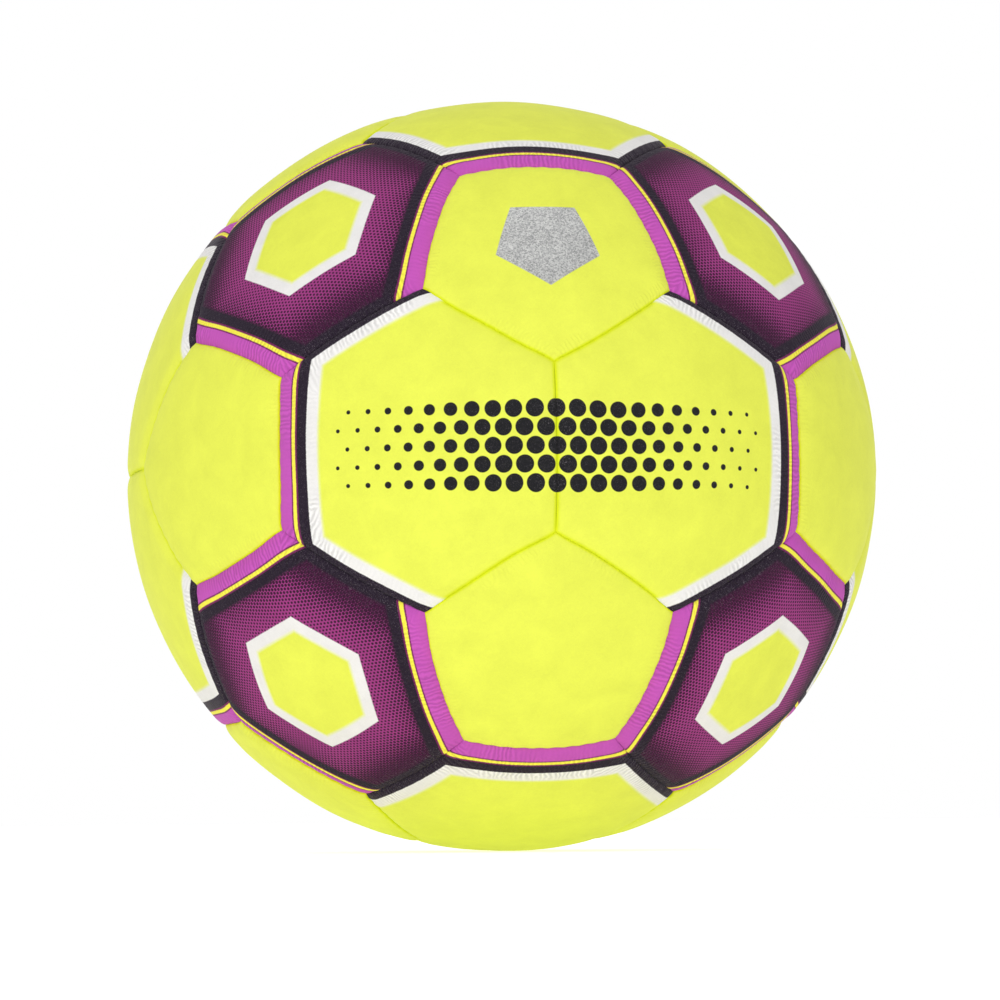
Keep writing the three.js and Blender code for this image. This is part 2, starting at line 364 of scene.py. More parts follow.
# %% Place the points of a row
def row_share(panel, inset, radius):
    """How far out a row lies, from 0 at the panel's middle to 1 on its seams."""
    seam_angle = math.acos(panel["axis"] @ panel["middles"][0])
    return math.tan(seam_angle - math.asin(inset / radius)) / math.tan(seam_angle)


def row_directions(panel, per_side, share):
    """Directions of a row's points, and where each lies along its side, from -0.5 to 0.5."""
    corners = panel["corners"]
    centre = panel["axis"] * (panel["axis"] @ corners[0])
    steps = np.tile(np.arange(per_side) / per_side, len(corners))
    side = np.repeat(np.arange(len(corners)), per_side)
    following = np.roll(corners, -1, axis=0)
    on_seam = corners[side] + (following - corners)[side] * steps[:, None]
    return unit(centre + (on_seam - centre) * share), (steps - 0.5) * share


def lattice_rows(panel):
    """Rows of the lattice, from the panel's middle outwards. Each has a point more a side."""
    last = row_share(panel, fold_insets[-1], ball_radius)
    counts = range(1, points_per_side + 1)
    middle = (panel["axis"][None], np.zeros(1))
    return [middle] + [row_directions(panel, count, last * count / points_per_side) for count in counts]


def fold_rows(panel):
    """The narrow rows on the fold, from the lattice outwards."""
    shares = [row_share(panel, inset, ball_radius) for inset in fold_insets[-2::-1]]
    return [row_directions(panel, points_per_side, share) for share in shares]


def under_rows(panel):
    """Rows of points down the turned-in edge and in over the lining."""
    places = [(row_share(panel, inset, radius), radius) for inset, radius in wall]
    places += [(share, lining_radius) for share in lining_shares]
    return [row_directions(panel, points_per_side, share)[0] * radius for share, radius in places]


face_points = sum(len(row[0]) for row in lattice_rows(panels[0]) + fold_rows(panels[0]))
print(face_points, "points on the felt face of", panels[0]["name"])


# %% Join the rows with faces
def lattice_faces(sides):
    """Triangles of the lattice, whose row r has r points on each side."""
    def at(row, side, i):
        start = 1 + sides * row * (row - 1) // 2
        return start + (side * row + i) % (sides * row)

    side = np.arange(sides)
    faces = [np.stack([at(1, side, 0), at(1, side + 1, 0), 0 * side], axis=1)]
    for row in range(1, points_per_side):
        side, i = np.indices((sides, row + 1)).reshape(2, -1)
        faces.append(np.stack([at(row + 1, side, i), at(row + 1, side, i + 1), at(row, side, i)], axis=1))
        side, i = side[i < row], i[i < row]
        faces.append(np.stack([at(row, side, i), at(row + 1, side, i + 1), at(row, side, i + 1)], axis=1))
    return np.concatenate(faces)


def ring_faces(first, second, count):
    """Quads between two rows of points, whose first points have these numbers."""
    i = np.arange(count)
    following = (i + 1) % count
    return np.stack([second + i, second + following, first + following, first + i], axis=1)


def zone_of(row):
    """The zone of a row of faces, counted from the felt's edge: felt, a row of wall, or lining."""
    if row < 0:
        return "felt"
    return row if row < len(wall) else "lining"


def panel_faces(sides, rows_below):
    """Faces from the middle of the felt to the middle of the lining, in groups with their zones."""
    count = sides * points_per_side
    lattice = lattice_faces(sides)
    groups, zones = [lattice], ["felt"]
    ring = lattice.max() + 1 - count
    for row in range(1 - len(fold_insets), rows_below):
        groups.append(ring_faces(ring, ring + count, count))
        zones.append(zone_of(row))
        ring += count
    i = np.arange(count)
    groups.append(np.stack([0 * i + ring + count, ring + (i + 1) % count, ring + i], axis=1))
    zones.append("lining")
    return groups, zones


print(len(lattice_faces(6)), "triangles in the lattice of a hexagon")

# %% [markdown]
# ## Notes for the print
# The print follows the seams, so its colours can be decided by a point's distance from them.
# Each panel therefore carries a few named values on its points, in millimetres: the distance
# from the nearest seam, the distances from the seams that the print follows, and its place on
# the cloth. The materials read them back with Attribute nodes, which also works for a mesh
# without any picture or UV map.

# %% Give a mesh its named values
far_away = 99 * MM
no_length = 1e-9


def nearest_of(distances, kinds, wanted):
    """Distance from the nearest seam of the wanted kind."""
    columns = [i for i, kind in enumerate(kinds) if kind == wanted]
    return distances[:, columns].min(axis=1) if columns else np.full(len(distances), far_away)


def cloth_place(axis, directions):
    """Flat coordinates on the panel: a point's way from the middle, as if the felt lay flat."""
    across = unit(np.cross((0, 0, 1), axis))
    ahead = np.cross(axis, across)
    angle = np.arccos(np.clip(directions @ axis, -1, 1))
    flat = np.stack([directions @ across, directions @ ahead, 0 * angle], axis=1)
    length = np.maximum(np.linalg.norm(flat, axis=1), no_length)
    return flat / length[:, None] * (angle * ball_radius)[:, None]


def front_place(directions):
    """Flat coordinates round the front of the ball: to the right, and up."""
    right = np.arctan2(directions[:, 0], -directions[:, 1])
    up = np.arcsin(np.clip(directions[:, 2], -1, 1))
    return np.stack([right, up, 0 * up], axis=1) * ball_radius


def write_value(mesh, name, values):
    """Stores lengths or places on the points of a mesh, in millimetres."""
    is_place = values.ndim == 2
    attribute = mesh.attributes.new(name, "FLOAT_VECTOR" if is_place else "FLOAT", "POINT")
    attribute.data.foreach_set("vector" if is_place else "value", (values / MM).ravel())


def panel_values(panel, points, distances, along):
    """The named values of a panel's points."""
    kinds = panel["kinds"]
    directions = unit(points)
    return {
        "inset": distances.min(axis=1),
        "along": np.abs(along) * seam_length,
        "to_accent": nearest_of(distances, kinds, "end" if "end" in kinds else "pentagon"),
        "to_contrast": nearest_of(distances, kinds, "contrast"),
        "cloth": cloth_place(panel["axis"], directions),
        "front": front_place(directions),
    }


right_edge = front_place(np.array([[1.0, 0.0, 0.0]]))[0]
print(f"The front's cloth is {2 * right_edge[0] / MM:.0f} mm wide from side to side")

# %% [markdown]
# ## A map for baking
# Other programs can't read these nodes, so an exporter bakes the finishes to pictures, and for
# that it needs to know where each face lies on a picture. Blender can unwrap a mesh by itself,
# but cuts it into many islands. A panel is nearly flat, so here its felt is laid out whole, the
# turned-in edge is a strip above it, and the lining, which nobody sees, is small.

# %% Spread a panel out for baking
face_room = 0.86
felt_fill = 0.99
strip_bottom = 0.88
strip_height = 0.05
lining_middle = (0.06, 0.97)
lining_size = 0.05


def strip_places(row, rows, count):
    """UV places for one row of the turned-in edge, which is a strip across the square."""
    left = np.arange(count) / count
    right = left + 1 / count
    low, high = (strip_bottom + strip_height * (row + k) / rows + 0 * left for k in (0, 1))
    corners = ((left, high), (right, high), (right, low), (left, low))
    return np.stack([np.stack(corner, axis=1) for corner in corners], axis=1).reshape(-1, 2)


def baking_places(cloth, groups, zones):
    """UV places for each corner of each face."""
    reach = np.abs(cloth[:, :2]).max(axis=0)
    scale = min(0.5 / reach[0], face_room / 2 / reach[1]) * felt_fill
    flat = {
        "felt": cloth[:, :2] * scale + (0.5, face_room / 2),
        "lining": cloth[:, :2] / reach.max() * lining_size / 2 + lining_middle,
    }
    strips = sum(zone not in flat for zone in zones)
    return np.concatenate([
        flat[zone][group].reshape(-1, 2) if zone in flat else strip_places(zone, strips, len(group))
        for zone, group in zip(zones, groups)
    ])


print(f"The felt fills {face_room:.0%} of the square's height")

# %% [markdown]
# ## Pieces and their CAD nodes
# Each mesh made here is the looks of one piece of the ball. The CAD part's own mesh could be
# edited instead, but it has to stay as it is for the other tools. So a piece is a new object
# that replaces its CAD node in the picture, and it rides on the same body as the node does.

# %% Make a piece and let it stand for its CAD node
sharp_angle = math.radians(50)


def link_object(name, data):
    """An object in the scene that shows some data."""
    made = bpy.data.objects.new(name, data)
    bpy.context.scene.collection.objects.link(made)
    return made


def add_piece(name, points, faces, finishes, body="root"):
    """A mesh object with smooth faces, which rides on a body."""
    mesh = bpy.data.meshes.new(name)
    mesh.from_pydata(points.tolist(), [], faces)
    mesh.shade_smooth()
    mesh.set_sharp_from_angle(angle=sharp_angle)
    for finish in finishes:
        mesh.materials.append(finish)
    piece = link_object(name, mesh)
    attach(piece, body)
    return piece


def stand_for(piece, node):
    """Hides the CAD node that a piece takes the place of."""
    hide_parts(node)


print("Edges sharper than", round(math.degrees(sharp_angle)), "degrees stay sharp")

# %% [markdown]
# ## Closing a panel
# A panel gets two finishes: felt on the face and on the first turn of the fold, and lining
# cloth on all the rest. It would be simpler to make two meshes, but they would have to be held
# together, and the real felt and lining are bonded into one sheet.

# %% Build a panel
felt_zones = ("felt", 0)


def felt_face(panel, rows, drop=0.0):
    """The felt face: its points, their distances from the seams and places along the side."""
    directions = np.concatenate([row[0] for row in rows])
    along = np.concatenate([row[1] for row in rows])
    distances = seam_distances(panel, directions)
    radius = crown_radius(panel, directions, distances, along) - drop
    return directions * radius[:, None], distances, along


def close_panel(panel, face, below, groups, zones, finishes):
    """Makes a panel's mesh. The points below the felt repeat the values of its outermost row."""
    points, distances, along = face
    outermost = slice(-len(panel["corners"]) * points_per_side, None)
    below = np.concatenate(below)
    points = np.concatenate([points, below])
    repeated = np.resize(distances[outermost], (len(below), distances.shape[1]))
    distances = np.concatenate([distances, repeated])
    along = np.concatenate([along, np.resize(along[outermost], len(below))])
    faces = [face for group in groups for face in group.tolist()]
    piece = add_piece(panel["name"] + "_felt", drifted(points), faces, finishes)
    values = panel_values(panel, points, distances, along)
    for name, column in values.items():
        write_value(piece.data, name, column)
    places = baking_places(values["cloth"], groups, zones)
    piece.data.uv_layers.new(name="OFBake").data.foreach_set("uv", places.ravel())
    finish = [np.full(len(group), zone not in felt_zones) for zone, group in zip(zones, groups)]
    piece.data.polygons.foreach_set("material_index", np.concatenate(finish).astype(np.int32))
    return piece


def build_panel(panel, finishes):
    """One panel: felt face, folded edge and lining, closed all round."""
    face = felt_face(panel, lattice_rows(panel) + fold_rows(panel))
    rows = under_rows(panel)
    pole = panel["axis"][None] * lining_radius
    groups, zones = panel_faces(len(panel["corners"]), len(rows))
    return close_panel(panel, face, rows + [pole], groups, zones, finishes)


print(len(panel_faces(5, len(wall) + len(lining_shares))[0]), "groups of faces make a pentagon")

# %% [markdown]
# ## The panel with the valve
# The panel behind the ball, on its upper right, has a round hole for the valve's stem. Cutting
# the hole with a boolean would leave long thin triangles round it. Here the rows start as
# circles on the rim of the hole and turn little by little into the panel's own hexagon.

# %% Name the sizes of the valve
valve_recess = 1.2 * MM
core_diameter = 5 * MM
core_head_diameter = 6.4 * MM
core_head_height = 1.1 * MM
core_tip = 4 * MM
needle_hole_diameter = 2 * MM
needle_hole_depth = 12 * MM
stem_wall = 0.5 * MM
tube_wall = 1.7 * MM
tube_margin = 2.6 * MM
seat_clearance = 0.3 * MM
valve_flange_diameter = 26 * MM
patch_diameter = 38 * MM

core_bore = core_diameter + 2 * seat_clearance
core_head_bore = core_head_diameter + 2 * seat_clearance
stem_diameter = core_head_bore + 2 * stem_wall
tube_diameter = core_bore + 2 * tube_wall
hole_radius = stem_diameter / 2 + seat_clearance
stem_top = ball_radius - valve_recess
core_bottom = stem_top - needle_hole_depth - core_tip
tube_bottom = core_bottom - tube_margin
valve_panel = next(panel for panel in panels if panel["name"] == "hexagon_upper_back_right")
valve_axis = valve_panel["axis"]
print(f"Stem {stem_diameter / MM:.1f} mm across in a hole of {2 * hole_radius / MM:.1f} mm")

# %% Build the panel with a hole
rim_round = 0.35 * MM
rim_steps = np.array([0, 0.04, 0.12, 0.22, 0.35]) * MM
rows_to_fold = 52
lining_ring = len(rim_steps) + 10


def hole_rows(panel):
    """Rows from the rim of the hole out to the fold: directions and places along the side."""
    whole, along = row_directions(panel, points_per_side, 1.0)
    centre = panel["axis"] * (panel["axis"] @ panel["corners"][0])
    height = np.linalg.norm(centre)
    outwards = whole / (whole @ panel["axis"])[:, None] * height - centre
    reach = np.linalg.norm(outwards, axis=1)
    first = height * math.tan(math.asin(hole_radius / ball_radius)) / reach
    last = row_share(panel, fold_insets[-1], ball_radius)
    shares = [first + step / ball_radius / reach for step in rim_steps]
    shares += [first + (last - first) * u for u in np.linspace(0, 1, rows_to_fold)[2:]]
    return [(unit(centre + outwards * share[:, None]), along * share) for share in shares]


def build_valve_panel(panel, finishes):
    """The panel whose rows run from the hole's rim, over the edge and back to the hole."""
    inner = hole_rows(panel)
    rows = inner + fold_rows(panel)
    count = len(inner[0][0])
    ease = 1 - np.minimum(rim_steps / rim_round, 1)
    rounding = rim_round * (1 - np.sqrt(1 - ease * ease))
    drop = np.repeat(np.pad(rounding, (0, len(rows) - len(rounding))), count)
    below = under_rows(panel)[:-len(lining_shares)]
    below += [inner[row][0] * lining_radius for row in (lining_ring, 0)]
    total = len(rows) + len(below)
    groups = [ring_faces(row * count, (row + 1) % total * count, count) for row in range(total)]
    zones = [zone_of(row - len(rows) + 1) for row in range(total)]
    # The last row of faces is the wall of the hole, which is one more strip on the baking map.
    zones[-1] = len(wall)
    return close_panel(panel, felt_face(panel, rows, drop), below, groups, zones, finishes)


print(len(hole_rows(valve_panel)), "rows lead from the hole's rim to the fold")

# %% [markdown]
# ## The seam thread
# A ball is sewn with waxed polyester, two plies twisted together. A curve with a round bevel
# would be a smooth wire, so the cord is swept here with a waisted section that turns as it goes.
# Each length sews one pentagon in and runs on along the hexagon seams beside it, as its CAD
# node does: which seams those are is read off the node.

# %% Lay the path of a cord
cord_step = 0.5 * MM


def cord_path(corners, closed):
    """Points at the depth of the stitches, at even steps along straight seams between corners."""
    ends = np.roll(corners, -1, axis=0) if closed else corners[1:]
    starts = corners if closed else corners[:-1]
    path = []
    for start, end in zip(starts, ends):
        count = round(stitch_radius * math.acos(start @ end) / cord_step)
        steps = np.arange(count) / count
        path.append(start + (end - start) * steps[:, None])
    if not closed:
        path.append(corners[-1:])
    return unit(np.concatenate(path)) * stitch_radius


print(len(cord_path(first_corners, True)), "points on the path round a pentagon")

# %% Sweep a twisted cord
section_points = 10
cord_twist = 4.6 * MM
waist = 0.6
section_angles = np.arange(section_points) * 2 * math.pi / section_points
section_reach = thread_radius * (waist + (1 - waist) * np.abs(np.cos(section_angles)))


def cord_points(path, closed, turns):
    """The sections of a cord, which turn round its path as often as asked."""
    count = len(path)
    ways = np.roll(path, -1, axis=0) - np.roll(path, 1, axis=0)
    if not closed:
        ways[0], ways[-1] = path[1] - path[0], path[-1] - path[-2]
    rises = unit(path)
    sides = unit(np.cross(unit(ways), rises))
    spin = section_angles[None, :] + (2 * math.pi * turns * np.arange(count) / count)[:, None]
    up = (np.cos(spin) * section_reach)[:, :, None] * rises[:, None, :]
    out = (np.sin(spin) * section_reach)[:, :, None] * sides[:, None, :]
    return (path[:, None, :] + up + out).reshape(-1, 3)


def cord_body(path, closed):
    """Points and faces of one length of cord. A closed one meets itself after whole half turns."""
    count = len(path)
    turns = round(count * cord_step / cord_twist * 2) / 2
    faces = []
    for ring in range(count if closed else count - 1):
        first, second = ring * section_points, (ring + 1) % count * section_points
        shift = round(turns * section_points) % section_points if ring == count - 1 else 0
        for i in range(section_points):
            a, b = i, (i + 1) % section_points
            c, d = (a + shift) % section_points, (b + shift) % section_points
            faces.append([first + a, first + b, second + d, second + c])
    if not closed:
        faces.append(list(range(section_points))[::-1])
        faces.append([(count - 1) * section_points + i for i in range(section_points)])
    return cord_points(path, closed, turns), faces


print(f"Each ply goes round the cord every {cord_twist / MM:.1f} mm")

# %% Build each length of thread
thread_nearness = 10 * MM
clear_of_corners = slice(2, -3)


def sewn_neighbours(name, axis):
    """The pentagons beyond the hexagon seams that a thread's CAD node runs along."""
    points = node_points(name)
    others = [other for other in pentagon_axes if are_neighbours(axis, other)]
    middles = unit(axis + np.array(others)) * stitch_radius
    gaps = [np.linalg.norm(points - middle, axis=1).min() for middle in middles]
    return [other for other, gap in zip(others, gaps) if gap < thread_nearness]


def build_thread(name, finish):
    """The thread round one pentagon, with its runs along hexagon seams."""
    axis = closest(pentagon_axes, unit(node_points(name).mean(axis=0)))
    bodies = [cord_body(cord_path(pentagon_corners(axis), True), True)]
    for other in sewn_neighbours(name, axis):
        run = cord_path(np.array([seam_corner(axis, other), seam_corner(other, axis)]), False)
        bodies.append(cord_body(run[clear_of_corners], False))
    points, faces = [], []
    for body_points, body_faces in bodies:
        start = sum(len(p) for p in points)
        points.append(body_points)
        faces += [[start + i for i in face] for face in body_faces]
    return add_piece(name + "_cord", drifted(np.concatenate(points)), faces, [finish])


thread_names = [name for name in sorted(nodes) if name.startswith("seam_thread")]
print(len(thread_names), "lengths of thread to sew")

# %% [markdown]
# ## Bladder and valve
# These pieces are round about the valve's axis, as they are on the machine that moulds them, so
# each one is a turned outline. Primitives like cylinders would leave hard edges and need
# booleans for the bores. The outlines repeat the CAD part's sizes, with the edges eased as
# rubber leaves a mould. The bladder is a thin ball with an opening, closed inside and out.

# %% Ease the corners of an outline
on_axis = 0.01 * MM
straight_cosine = -0.97


def eased(outline, ease, steps=4):
    """A closed outline whose corners are rounded off, except on the axis."""
    count = len(outline)
    points = []
    for i in range(count):
        before, corner, after = (np.array(outline[(i + k) % count]) for k in (-1, 0, 1))
        arriving, leaving = before - corner, after - corner
        if unit(arriving) @ unit(leaving) < straight_cosine or corner[0] < on_axis:
            points.append(corner)
            continue
        near = corner + unit(arriving) * min(ease, np.linalg.norm(arriving) / 2)
        far = corner + unit(leaving) * min(ease, np.linalg.norm(leaving) / 2)
        for t in np.linspace(0, 1, steps + 1):
            points.append((1 - t) ** 2 * near + 2 * t * (1 - t) * corner + t * t * far)
    return points


square = [(0.0, 0.0), (5 * MM, 0.0), (5 * MM, 5 * MM), (0.0, 5 * MM)]
print("A square with two corners off the axis gets", len(eased(square, 1 * MM)), "points")

# %% Turn an outline about the valve's axis
turn_count = 128
across_valve = unit(np.cross((0, 0, 1), valve_axis))
ahead_valve = np.cross(valve_axis, across_valve)


def turned_faces(starts, sizes):
    """Faces between the rows of a turned outline. A row on the axis is a single point."""
    faces = []
    for row, (a, size_a) in enumerate(zip(starts, sizes)):
        following = (row + 1) % len(starts)
        b, size_b = starts[following], sizes[following]
        for i in range(turn_count):
            j = (i + 1) % turn_count
            if size_a > 1 and size_b > 1:
                faces.append([a + i, a + j, b + j, b + i])
            elif size_a > 1:
                faces.append([a + i, a + j, b])
            elif size_b > 1:
                faces.append([a, b + j, b + i])
    return faces


def turned_piece(name, outline, finish):
    """Turns a closed outline of (distance off the axis, height along it) into a solid piece."""
    angles = np.arange(turn_count) * 2 * math.pi / turn_count
    spokes = np.cos(angles)[:, None] * across_valve + np.sin(angles)[:, None] * ahead_valve
    rows = [
        valve_axis[None] * y if x < on_axis else spokes * x + valve_axis * y
        for x, y in outline
    ]
    sizes = [len(row) for row in rows]
    starts = [sum(sizes[:i]) for i in range(len(sizes))]
    points = np.concatenate(rows)
    piece = add_piece(name, points, turned_faces(starts, sizes), [finish])
    write_value(piece.data, "cloth", points @ np.stack([across_valve, ahead_valve, valve_axis], axis=1))
    return piece


print("Turned pieces have", turn_count, "steps round the axis")

# %% Outline the bladder
bladder_wall = 0.6 * MM
bladder_rows = 90
bladder_radius = node_radii("bladder").max()


def bladder_outline():
    """A thin ball, open round the valve's tube."""
    start = math.asin((tube_diameter / 2 + seat_clearance) / bladder_radius)
    angles = np.linspace(start, math.pi, bladder_rows)[:-1]
    inner = bladder_radius - bladder_wall
    outside = [(bladder_radius * math.sin(a), bladder_radius * math.cos(a)) for a in angles[::-1]]
    inside = [(inner * math.sin(a), inner * math.cos(a)) for a in angles]
    return [(0.0, -bladder_radius), *outside, *inside, (0.0, -inner)]


print(f"Bladder {2 * bladder_radius / MM:.1f} mm across, with a wall of {bladder_wall / MM:.1f} mm")

# %% Outline the valve and its patch
rim_share = 0.49
patch_radii = node_radii("valve_patch")
off_axis = np.linalg.norm(np.cross(node_points("valve_body"), valve_axis), axis=1)
flange_radii = node_radii("valve_body")[off_axis > rim_share * valve_flange_diameter]


def arc_at(radius, from_reach, to_reach, steps=10):
    """Outline points on a sphere about the ball's centre, between two distances off the axis."""
    reaches = np.linspace(from_reach, to_reach, steps + 1)
    return [(x, math.sqrt(radius * radius - x * x)) for x in reaches]


def valve_body_outline():
    """The tube, the flange that is vulcanised to the bladder, and the stem with the core's seat."""
    seat = stem_top - core_head_height - seat_clearance
    return eased([
        (core_bore / 2, tube_bottom),
        (tube_diameter / 2, tube_bottom),
        *arc_at(flange_radii.min(), tube_diameter / 2, valve_flange_diameter / 2),
        *arc_at(flange_radii.max(), valve_flange_diameter / 2, stem_diameter / 2),
        (stem_diameter / 2, stem_top),
        (core_head_bore / 2, stem_top),
        (core_head_bore / 2, seat),
        (core_bore / 2, seat),
    ], ease=0.15 * MM)


def valve_core_outline():
    """The rubber plug with its head and its needle hole, which ends in a cone."""
    core, head, needle = core_diameter / 2, core_head_diameter / 2, needle_hole_diameter / 2
    neck = stem_top - core_head_height
    deep = stem_top - needle_hole_depth
    return eased([
        (0.0, core_bottom),
        (core, core_bottom),
        (core, neck),
        (head, neck),
        (head, stem_top),
        (needle, stem_top),
        (needle, deep),
        (0.0, deep - needle),
    ], ease=0.18 * MM)


def valve_patch_outline():
    """The disc of cloth under the cover, with a hole for the stem."""
    return eased([
        *arc_at(patch_radii.min(), hole_radius, patch_diameter / 2),
        *arc_at(patch_radii.max(), patch_diameter / 2, hole_radius),
    ], ease=0.2 * MM)


print(f"The valve reaches {(stem_top - tube_bottom) / MM:.1f} mm into the ball")

# %% [markdown]
# ## Building materials from nodes
# A material is a tree of nodes. Writing each node and link by hand hides what the tree does, so
# a small helper adds a node, fills its inputs and hands back its output. An effect that several
# materials share becomes a group with named inputs and outputs, which is built once.


# %% A helper that adds nodes
def srgb(red, green, blue):
    """A colour as it is read off a picture, from 0 to 255, turned into a linear colour."""
    shares = [value / 255 for value in (red, green, blue)]
    return tuple(v / 12.92 if v <= 0.04045 else ((v + 0.055) / 1.055) ** 2.4 for v in shares) + (1.0,)


def grey(level):
    """A linear grey."""
    return (level, level, level, 1.0)


class Tree:
    """Adds nodes to one node tree. An input may be a number, a colour or another node's output."""

    def __init__(self, tree):
        self.nodes = tree.nodes
        self.links = tree.links

    def fill(self, socket, value):
        """Links a node's output to a socket, or sets the socket's value."""
        if isinstance(value, bpy.types.NodeSocket):
            self.links.new(value, socket)
        else:
            socket.default_value = value

    def add(self, kind, inputs=None, **settings):
        """A node with its inputs filled and its settings made."""
        node = self.nodes.new("ShaderNode" + kind)
        for name, value in settings.items():
            setattr(node, name, value)
        for key, value in (inputs or {}).items():
            self.fill(node.inputs[key], value)
        return node

    def math(self, operation, a, b=0.0, c=0.0):
        """A sum, product or other operation on up to three values."""
        return self.add("Math", {0: a, 1: b, 2: c}, operation=operation).outputs[0]

    def blend(self, share, a, b):
        """A share of one value and the rest of another."""
        return self.math("MULTIPLY_ADD", a, share, self.math("MULTIPLY", b, 1 - share))

    def window(self, value, start, end):
        """0 below the start, 1 above the end, with a smooth step between."""
        inputs = {"Value": value, "From Min": start, "From Max": end}
        return self.add("MapRange", inputs, interpolation_type="SMOOTHSTEP").outputs["Result"]

    def spread(self, value, low, high, start=0.0, end=1.0):
        """Turns a value between start and end into one between low and high."""
        inputs = {"Value": value, "From Min": start, "From Max": end, "To Min": low, "To Max": high}
        return self.add("MapRange", inputs).outputs["Result"]

    def mix(self, share, a, b, blend="MIX"):
        """Mixes two colours."""
        node = self.add("Mix", data_type="RGBA", blend_type=blend)
        for index, value in ((0, share), (6, a), (7, b)):
            self.fill(node.inputs[index], value)
        return node.outputs[2]

    def on_ball(self):
        """The place on the ball, in millimetres."""
        place = self.add("TexCoord").outputs["Object"]
        return self.add("VectorMath", {0: place, "Scale": 1 / MM}, operation="SCALE").outputs[0]

    def noise(self, place, scale, detail=2.0, roughness=0.5, distortion=0.0):
        """Noise with so many features in a millimetre."""
        inputs = {"Vector": place, "Scale": scale, "Detail": detail, "Roughness": roughness}
        return self.add("TexNoise", {**inputs, "Distortion": distortion}).outputs["Fac"]

    def value(self, name):
        """A length in millimetres that the mesh carries on its points."""
        return self.add("Attribute", attribute_name=name).outputs["Fac"]

    def place(self, name):
        """A place in millimetres that the mesh carries on its points."""
        return self.add("Attribute", attribute_name=name).outputs["Vector"]

    def ramp(self, value, stops, span):
        """Colours at distances from 0 to span. A stop is a distance, a colour and an opacity."""
        node = self.add("ValToRGB", {"Fac": self.math("DIVIDE", value, span)})
        elements = node.color_ramp.elements
        while len(elements) < len(stops):
            elements.new(1.0)
        for element, (distance, colour, opacity) in zip(elements, stops):
            element.position = distance / span
            element.color = (*colour[:3], opacity)
        return node.outputs["Color"], node.outputs["Alpha"]


print("Middle grey on a picture is", round(srgb(128, 128, 128)[0], 3), "in linear light")


# %% Helpers that begin a material or a group
def new_material(name):
    """A material, the maker of its tree, and its Principled shader."""
    material = bpy.data.materials.new(name)
    material.use_nodes = True
    maker = Tree(material.node_tree)
    return material, maker, maker.nodes["Principled BSDF"]


def new_group(name, inputs, outputs):
    """An empty shader group. An input has a default number, or None where it is a place."""
    tree = bpy.data.node_groups.new(name, "ShaderNodeTree")
    for socket_name, default in inputs.items():
        kind = "NodeSocketVector" if default is None else "NodeSocketFloat"
        socket = tree.interface.new_socket(name=socket_name, in_out="INPUT", socket_type=kind)
        if default is not None:
            socket.default_value = default
    for socket_name in outputs:
        tree.interface.new_socket(name=socket_name, in_out="OUTPUT", socket_type="NodeSocketFloat")
    start = tree.nodes.new("NodeGroupInput")
    end = tree.nodes.new("NodeGroupOutput")
    return tree, Tree(tree), start.outputs, end.inputs


def use(maker, group, **inputs):
    """Places a group in a material with its own values."""
    node = maker.nodes.new("ShaderNodeGroup")
    node.node_tree = group
    for name, value in inputs.items():
        maker.fill(node.inputs[name.capitalize()], value)
    return node.outputs


def seen_rays(maker):
    """1 for the rays that show a thing to the camera, straight, mirrored or through glass."""
    rays = maker.add("LightPath").outputs
    indirect = maker.math("MAXIMUM", rays["Is Glossy Ray"], rays["Is Transmission Ray"])
    return maker.math("MAXIMUM", rays["Is Camera Ray"], indirect)


print("Ready to build materials and groups in", bpy.app.version_string)

# %% [markdown]
# ## Nap
# Nap is the short fuzz of felt: fine fibres, soft clouds where it lies another way, and a few
# light fibres that stand out on dark print. Real hairs would need millions of strands. At the
# distance of this picture they are smaller than a pixel, so noise at three sizes does the same.

# %% The nap group
nap, m, given, out = new_group("felt_nap", {"Fibre": 0.3, "Cloud": 9.0}, ["Shade", "Height", "Flecks"])
where = m.on_ball()
fibre, cloud_size = given["Fibre"], given["Cloud"]
fine = m.noise(where, m.math("DIVIDE", 1.0, fibre), detail=3.0, roughness=0.65, distortion=0.6)
matted = m.noise(where, m.math("DIVIDE", 0.28, fibre), detail=2.0, roughness=0.6, distortion=1.2)
cloud = m.noise(where, m.math("DIVIDE", 1.0, cloud_size), detail=3.0, roughness=0.55, distortion=0.4)
specks = m.noise(where, m.math("DIVIDE", 0.8, fibre), detail=2.0, roughness=0.7, distortion=2.0)
tufts = m.blend(0.6, fine, matted)
m.fill(out["Shade"], m.blend(0.55, tufts, cloud))
m.fill(out["Height"], tufts)
m.fill(out["Flecks"], m.window(specks, 0.56, 0.72))
print("Group", nap.name, "has", len(nap.nodes), "nodes")

# %% [markdown]
# ## Puckers
# Stitching gathers the felt, which leaves small ripples across the stripes beside a seam. They
# could be modelled, but a mesh fine enough for them would be many times larger. A sine wave
# along the seam, bent a little by noise, bumps them instead, and its painted shade darkens and
# lightens the colour. It fades away from the seam and is strong in some patches and faint in others.

# %% The pucker group
puckers, m, given, out = new_group(
    "seam_puckers", {"Distance": 0.0, "Pitch": 1.3, "Reach": 6.0}, ["Height"])
wander_reach = 2.4
faintest = 0.1
where = m.on_ball()
wander = m.noise(where, 0.3)
phase = m.math("DIVIDE", m.math("MULTIPLY_ADD", wander, wander_reach, m.value("along")), given["Pitch"])
wave = m.math("SINE", m.math("MULTIPLY", phase, 2 * math.pi))
near = m.window(m.math("DIVIDE", given["Distance"], given["Reach"]), 1.0, 0.8)
patches = m.window(m.noise(where, 0.06, detail=1.0), 0.42, 0.6)
strength = m.math("MULTIPLY_ADD", patches, 1 - faintest, faintest)
m.fill(out["Height"], m.math("MULTIPLY", m.math("MULTIPLY", wave, near), strength))
print("Group", puckers.name, "has", len(puckers.nodes), "nodes")

